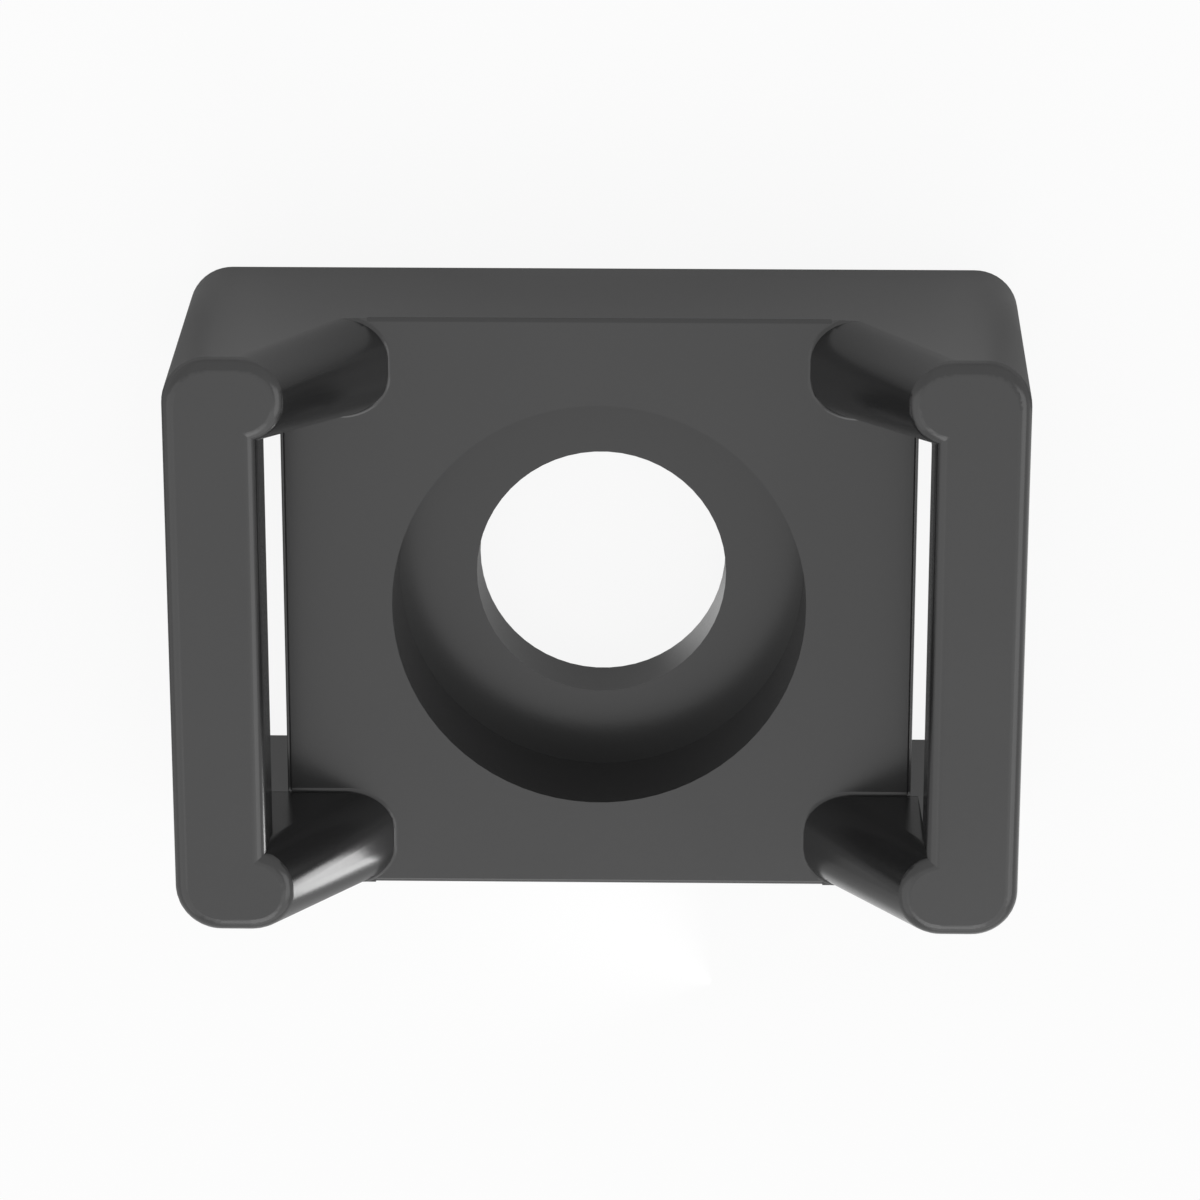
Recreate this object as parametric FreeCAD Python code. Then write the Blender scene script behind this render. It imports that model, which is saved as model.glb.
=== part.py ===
import FreeCAD, Part
import math
import os

# Screw-on cable tie mount, moulded in one piece from nylon.
# Millimetres. The flat underside is z = 0 and +Z points away from the panel it is screwed to.
# The two tie bars run along Y, one at each end of X. The origin is on the screw axis.

# Block, measured at its underside. Its four walls lean in towards the top.
base_length = 22.6
base_width = 16.0
height = 9.6
corner_radius = 1.2
wall_draft = 1.9
top_edge_radius = 0.36

# Screw plate between the two bars
plate_height = 5.4
plate_edge_radius = 0.12

# Screw hole, and the round recess that seats the head
screw_hole_diameter = 6.8
recess_diameter = 11.0
seat_height = 2.1

# Tie bars. A narrow slit parts each one from the plate's end.
bar_width = 2.41
bar_thickness = 1.9
bar_lower_edge_radius = 0.12
slit_width = 0.18

# Corner arms, which reach in from the bars and lean down to the plate.
# Their width is measured level with the plate's top.
arm_width = 2.59
arm_reach_at_top = 0.58
arm_reach_at_foot = 3.07
arm_foot_radius = 0.1
# Flat left between the two rounded edges of a nose, at the arm's top
nose_flat = 0.04

# Tie openings under the bars. Their ends lean outwards both above and below the plate's top.
draft_above_plate = 3.3
draft_below_plate = 2.5

# How far a working solid runs past the faces that trim it
overrun = 2.0
# Slack when an edge is picked by its position
near = 0.01


def lean(angle, rise):
    """Sideways shift of a wall that leans by an angle in degrees over a rise."""
    return rise * math.tan(math.radians(angle))


bar_underside = height - bar_thickness
bar_inner = base_length / 2 - lean(wall_draft, height) - bar_width
plate_end = bar_inner - slit_width
opening_half = base_width / 2 - lean(wall_draft, plate_height) - arm_width
nose_at_foot = bar_inner - arm_reach_at_foot
nose_slope = (arm_reach_at_foot - arm_reach_at_top) / (height - plate_height)


def span(one, other):
    return min(one, other), max(one, other)


def tapered_box(low, high):
    """Solid between two level rectangles, each given as x range, y range and z."""
    (x0, x1), (y0, y1), z0 = low
    (x2, x3), (y2, y3), z1 = high
    box = Part.makeWedge(x0, z0, -y1, -y3, x2, x1, z1, -y0, -y2, x3)
    box.rotate(FreeCAD.Vector(0, 0, 0), FreeCAD.Vector(1, 0, 0), 90)
    return box


def block_section(z):
    x = base_length / 2 - lean(wall_draft, z)
    y = base_width / 2 - lean(wall_draft, z)
    return span(-x, x), span(-y, y), z


def rail_section(z):
    """Stretch of the plate between the feet of the arms."""
    x = nose_at_foot + nose_radius / 2
    y = base_width / 2 - lean(wall_draft, z)
    return span(-x, x), span(-y, y), z


def arm_sides(z):
    """Distances from the middle of the mount to an arm's flank, and to its outer wall."""
    flank = opening_half + lean(draft_above_plate, z - plate_height)
    return flank, base_width / 2 - lean(wall_draft, z)


def arm_section(z, side_x, side_y):
    nose = nose_at_foot + nose_slope * (z - plate_height)
    end = base_length / 2 + overrun
    flank, wall = arm_sides(z)
    return span(side_x * nose, side_x * end), span(side_y * flank, side_y * wall), z


top_flank, top_wall = arm_sides(height)
nose_radius = (top_wall - top_flank - nose_flat) / 2


def bar_section(z, side):
    """One bar, its ends sunk into the arms."""
    outer = base_length / 2 - lean(wall_draft, z)
    y = opening_half + nose_radius
    return span(side * bar_inner, side * outer), span(-y, y), z


def opening_section(z, side):
    drop = lean(draft_below_plate, plate_height - z)
    end = base_length / 2 + overrun
    y = opening_half + drop
    return span(side * (plate_end - drop), side * end), span(-y, y), z


def edges_of(shape, wanted):
    """Edges whose bounding box passes a test."""
    return [edge for edge in shape.Edges if wanted(edge.BoundBox)]


def is_level(box, z):
    return abs(box.ZMin - z) < near and abs(box.ZMax - z) < near


def is_upright(box):
    return box.ZLength > plate_height / 2


def is_nose_edge(box):
    return is_upright(box) and max(abs(box.XMin), abs(box.XMax)) < base_length / 2


def is_foot_edge(box):
    return is_level(box, plate_height) and max(abs(box.YMin), abs(box.YMax)) < base_width / 2


def is_long_edge(box, z):
    """An edge at height z that runs along Y from one arm to the other."""
    return is_level(box, z) and box.XLength < near and box.YLength > opening_half


def plate_edge_waste():
    """The two slivers that rounding takes off the plate's edges between the arms."""
    rail = tapered_box(rail_section(seat_height), rail_section(plate_height))
    outer_edges = edges_of(rail, lambda box: is_level(box, plate_height) and box.YLength < near)
    return rail.cut(rail.makeFillet(plate_edge_radius, outer_edges))


# Four arms standing on a slab, blended into it at their feet, then trimmed to the block's walls
slab_x = base_length / 2 + 2 * overrun
slab_y = base_width / 2 + 2 * overrun
mount = Part.makeBox(2 * slab_x, 2 * slab_y, plate_height, FreeCAD.Vector(-slab_x, -slab_y, 0))
for side_x in (-1, 1):
    for side_y in (-1, 1):
        arm = tapered_box(arm_section(0, side_x, side_y), arm_section(height, side_x, side_y))
        arm = arm.makeFillet(nose_radius, edges_of(arm, is_nose_edge))
        mount = mount.fuse(arm)
mount = mount.removeSplitter()
mount = mount.makeFillet(arm_foot_radius, edges_of(mount, is_foot_edge))
block = tapered_box(block_section(0), block_section(height))
block = block.makeFillet(corner_radius, edges_of(block, is_upright))
mount = mount.common(block).cut(plate_edge_waste())

# Bars between the arms. The right-hand one also fills the arms' flanks out down to the plate's
# level, where the tie opening that is cut next leaves a thin upright wedge at each end.
for side, bar_foot in ((-1, bar_underside), (1, plate_height)):
    mount = mount.fuse(tapered_box(bar_section(bar_foot, side), bar_section(height, side)))

# Tie openings, which run under the bars and out through the end walls
for side in (-1, 1):
    mount = mount.cut(
        tapered_box(opening_section(-overrun, side), opening_section(bar_underside, side))
    )
mount = mount.removeSplitter()

# Screw hole and head recess
hole = Part.makeCylinder(screw_hole_diameter / 2, height, FreeCAD.Vector(0, 0, -overrun))
recess = Part.makeCylinder(recess_diameter / 2, height, FreeCAD.Vector(0, 0, seat_height))
mount = mount.cut(hole).cut(recess)

# Rounded rims of the arms and bars
mount = mount.makeFillet(top_edge_radius, edges_of(mount, lambda box: is_level(box, height)))
mount = mount.makeFillet(
    bar_lower_edge_radius, edges_of(mount, lambda box: is_long_edge(box, bar_underside))
)
mount = mount.makeFillet(
    plate_edge_radius, edges_of(mount, lambda box: is_long_edge(box, plate_height))
)

os.makedirs("parts", exist_ok=True)
mount.exportStep("parts/tie_mount.step")
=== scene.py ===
import bpy
import math
from mathutils import Matrix, Vector


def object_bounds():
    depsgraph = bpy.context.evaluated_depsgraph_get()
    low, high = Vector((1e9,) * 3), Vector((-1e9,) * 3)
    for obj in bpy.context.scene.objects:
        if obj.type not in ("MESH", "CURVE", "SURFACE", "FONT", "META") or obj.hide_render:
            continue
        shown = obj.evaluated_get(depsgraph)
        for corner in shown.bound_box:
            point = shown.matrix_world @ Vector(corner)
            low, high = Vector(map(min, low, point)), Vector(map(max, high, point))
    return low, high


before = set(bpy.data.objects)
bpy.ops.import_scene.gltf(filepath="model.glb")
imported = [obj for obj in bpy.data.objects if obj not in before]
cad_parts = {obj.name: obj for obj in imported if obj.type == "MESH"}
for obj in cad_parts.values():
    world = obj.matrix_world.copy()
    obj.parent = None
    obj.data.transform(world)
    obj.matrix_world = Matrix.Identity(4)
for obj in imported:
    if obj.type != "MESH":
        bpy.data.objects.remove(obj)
cad_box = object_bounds()


# Tie mount: one block of black nylon, injection moulded, with a plate in the middle, a leaning
# arm at each corner and a bar across each pair of arms. The mould leaves an even satin skin with
# a very fine spark-eroded grain, and the plastic's flow lets the gloss drift a little.


class Shade:
    """A socket of one node tree. Arithmetic on it adds Math nodes beside it."""

    def __init__(self, tree, socket=None):
        self.tree = tree
        self.socket = socket

    def node(self, kind, settings={}, inputs={}):
        """A node of any kind. Its settings are made first, then its inputs are set or linked."""
        made = self.tree.nodes.new("ShaderNode" + kind)
        for name, value in settings.items():
            setattr(made, name, value)
        for name, value in inputs.items():
            if isinstance(value, Shade):
                self.tree.links.new(value.socket, made.inputs[name])
            else:
                made.inputs[name].default_value = value
        return made

    def out(self, kind, output, settings={}, inputs={}):
        """One output of such a node, by its name or place."""
        return Shade(self.tree, self.node(kind, settings, inputs).outputs[output])

    def calculate(self, operation, *values):
        return self.out("Math", 0, {"operation": operation}, dict(enumerate(values)))

    def __add__(self, other):
        return self.calculate("ADD", self, other)

    __radd__ = __add__

    def __mul__(self, other):
        return self.calculate("MULTIPLY", self, other)

    __rmul__ = __mul__

    def __abs__(self):
        return self.calculate("ABSOLUTE", self)

    def mix(self, first, second):
        """A colour that goes from the first to the second as this socket goes from 0 to 1."""
        ends = {"Factor": self, "A": first, "B": second}
        return self.out("Mix", "Result", {"data_type": "RGBA"}, ends)


def new_material(name):
    """An empty material, and the wrapper that its nodes are added with."""
    material = bpy.data.materials.new(name)
    material.use_nodes = True
    material.node_tree.nodes.clear()
    return material, Shade(material.node_tree)


nylon, shade = new_material("black_moulded_nylon")
place = shade.out("TexCoord", "Object")

# Spark-eroded grain, about 0.06 mm across, and the slow drift where the plastic flowed and shrank
grain = shade.out(
    "TexNoise", 0, inputs={"Vector": place, "Scale": 9000, "Detail": 3, "Roughness": 0.6}
)
flow = shade.out(
    "TexNoise", 0, inputs={"Vector": place, "Scale": 260, "Detail": 2, "Roughness": 0.5}
)
relief = shade.out(
    "Bump", "Normal", inputs={"Height": grain, "Strength": 0.12, "Distance": 0.00001}
)

darker_black = (0.018, 0.018, 0.0183, 1)
lighter_black = (0.022, 0.022, 0.0223, 1)
skin = shade.out(
    "BsdfPrincipled",
    0,
    inputs={
        "Base Color": (0.7 * flow + 0.3 * grain).mix(darker_black, lighter_black),
        "Roughness": 0.16 + 0.06 * flow + 0.05 * grain,
        "IOR": 1.53,
        "Normal": relief,
    },
)
shade.node("OutputMaterial", inputs={"Surface": skin})
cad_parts["tie_mount"].material_slots[0].material = nylon


# Table top: a broad sheet of pale matt paper under the mount, which takes its soft shadow and
# shows as white. In the mount's gloss it carries painted light and shade: dim close by, white
# further out, with a few soft spots of painted light.


def new_object(name, data):
    made = bpy.data.objects.new(name, data)
    bpy.context.scene.collection.objects.link(made)
    return made


low, high = cad_box
half_table = 0.6
corners = ((-1, -1), (1, -1), (1, 1), (-1, 1))
table_mesh = bpy.data.meshes.new("table")
table_mesh.from_pydata(
    [(half_table * x, half_table * y, low.z) for x, y in corners], [], [(0, 1, 2, 3)]
)
table = new_object("table", table_mesh)

white_paper, shade = new_material("white_paper")
place = shade.out("TexCoord", "Object")
along_x = shade.out("SeparateXYZ", "X", inputs={0: place})
along_y = shade.out("SeparateXYZ", "Y", inputs={0: place})
# Distance from the middle, along ellipses that are twice as long as they are wide
ellipse = shade.out("VectorMath", 0, {"operation": "MULTIPLY"}, {0: place, 1: (0.5, 1, 0)})
outward = shade.out("VectorMath", "Value", {"operation": "LENGTH"}, {0: ellipse})


def fade(value, start, finish, first, last):
    """Goes softly from the first amount to the last while the value goes from start to finish."""
    return value.out(
        "MapRange",
        0,
        {"interpolation_type": "SMOOTHSTEP"},
        {"Value": value, "From Min": start, "From Max": finish, "To Min": first, "To Max": last},
    )


def painted_light_spot(x, y, inner, outer, amount):
    """A round painted pool of light on the paper, full inside one radius and gone outside the
    other.
    """
    middle = (x, y, low.z)
    away = place.out("VectorMath", "Value", {"operation": "DISTANCE"}, {0: place, 1: middle})
    return fade(away, inner, outer, amount, 0)


# Edges of the mount, seen from above
end = high.x
side = high.y
# Where the mount's gloss sees the paper white: painted light, and painted shade close by where it
# stays low
painted_light_in_gloss = (
    # Painted light far from the mount, and faintly beneath it
    fade(outward, side, side + 0.018, 0, 0.8)
    + fade(outward, side - 0.001, side + 0.0005, 0.07, 0)
    # Painted light along a band as wide as the mount is long, which runs on behind it and in
    # front of it
    + fade(abs(along_x), end - 0.0018, end + 0.0012, 0.165, 0)
    # Painted pools of light under the screw hole, and behind the card light
    + painted_light_spot(0.0031, -0.0019, inner=0.0004, outer=0.0022, amount=0.5)
    + painted_light_spot(0.007, -0.0135, inner=0.003, outer=0.0068, amount=0.9)
    # Painted light close by on the right
    + fade(along_x, end - 0.0008, end + 0.0017, 0, 0.9) * fade(along_y, 0.001, 0.0045, 1, 0)
)
in_view = shade.out("LightPath", "Is Camera Ray") + shade.out("LightPath", "Is Transmission Ray")
in_gloss = shade.out("LightPath", "Is Glossy Ray")
# A tenth of the view stays lit paper, so that the mount's shadow shows faintly
white_in_view = 0.9
pale_grey = (0.8, 0.8, 0.8, 1)
# Painted shade: in the mount's gloss the paper takes this darker grey instead of its pale one
painted_shade_grey = (0.25, 0.25, 0.25, 1)
painted_light_in_gloss = shade.out("Clamp", 0, inputs={"Value": painted_light_in_gloss})
# To the camera the paper glows an even white; in the mount's gloss it glows only where the
# painted light is
paper = shade.out(
    "MixShader",
    0,
    inputs={
        "Fac": white_in_view * in_view + painted_light_in_gloss * in_gloss,
        1: shade.out("BsdfDiffuse", 0, inputs={"Color": in_gloss.mix(pale_grey, painted_shade_grey)}),
        2: shade.out("Emission", 0, inputs={"Strength": 1.0}),
    },
)
shade.node("OutputMaterial", inputs={"Surface": paper})
table_mesh.materials.append(white_paper)


# Studio: white walls all round and large soft boxes on stands, most of them in front of the mount
# and to its right. The walls show as white, and light the mount half as strongly.

studio = bpy.data.worlds.new("studio")
bpy.context.scene.world = studio
studio.use_nodes = True
studio.node_tree.nodes.clear()
shade = Shade(studio.node_tree)
seen = (
    shade.out("LightPath", "Is Camera Ray")
    + shade.out("LightPath", "Is Glossy Ray")
    + shade.out("LightPath", "Is Transmission Ray")
)
walls = shade.out("Background", 0, inputs={"Color": (1, 1, 1, 1), "Strength": 0.5 + 0.5 * seen})
shade.node("OutputWorld", inputs={"Surface": walls})

stand_distance = 0.6


def direction(azimuth, elevation):
    """Unit vector. The azimuth turns from +X to +Y and the elevation climbs, both in degrees."""
    turn, climb = math.radians(azimuth), math.radians(elevation)
    level = math.cos(climb)
    return Vector((math.cos(turn) * level, math.sin(turn) * level, math.sin(climb)))


def new_lamp(name, width, tallness, brightness):
    """A rectangular lamp. A brightness of 1 adds as much white as the walls show."""
    lamp = bpy.data.lights.new(name, "AREA")
    lamp.shape = "RECTANGLE"
    lamp.size = width
    lamp.size_y = tallness
    lamp.energy = brightness * math.pi * width * tallness
    return new_object(name, lamp)


def soft_box(name, azimuth, elevation, width, tallness, brightness):
    """A lamp on a stand, facing the mount."""
    away = direction(azimuth, elevation)
    stand = new_lamp(name, width, tallness, brightness)
    stand.location = stand_distance * away
    stand.rotation_euler = away.to_track_quat("Z", "Y").to_euler()


soft_box("overhead_light", 270, 82, width=0.5, tallness=0.42, brightness=0.42)
soft_box("left_light", 208, 42, width=0.62, tallness=0.56, brightness=0.6)
soft_box("front_light", 290, 38, width=0.62, tallness=0.66, brightness=0.7)
soft_box("front_strip_light", 272, 46, width=0.22, tallness=0.25, brightness=1.6)
soft_box("right_light", 348, 38, width=0.46, tallness=0.37, brightness=1.35)
soft_box("back_light", 80, 40, width=1.0, tallness=0.7, brightness=0.1)

# A small glowing card stands on the paper close in front of the mount. It is turned to the left
# front arm and tilted along it, and its narrowed spread makes it brighter straight ahead.
card_middle = Vector((0.00372, -0.01143, low.z + 0.0033))
card_back = direction(azimuth=-24, elevation=0)
card_tilt = math.radians(36)
card = new_lamp("card_light", width=0.0065, tallness=0.0036, brightness=3.3)
card.data.spread = math.radians(110)
card.visible_camera = False
card.matrix_world = (
    Matrix.Translation(card_middle)
    @ card_back.to_track_quat("Z", "Y").to_matrix().to_4x4()
    @ Matrix.Rotation(card_tilt, 4, "Z")
)


# Camera: a long lens close above the mount and a little to its +Y side, tilted back towards it.
# The mount's length lies level in the picture, as in the photograph.

camera = bpy.data.cameras.new("camera")
camera.sensor_width = 36
camera.lens = 126.12
camera.clip_start = 0.01
camera.clip_end = 10
viewer = new_object("camera", camera)
viewer.location = (0.002186, 0.03225221, 0.11222578)
viewer.rotation_euler = [math.radians(angle) for angle in (-16.7010, 1.1648, 0.0248)]
bpy.context.scene.camera = viewer
bpy.context.scene.view_settings.view_transform = "Standard"
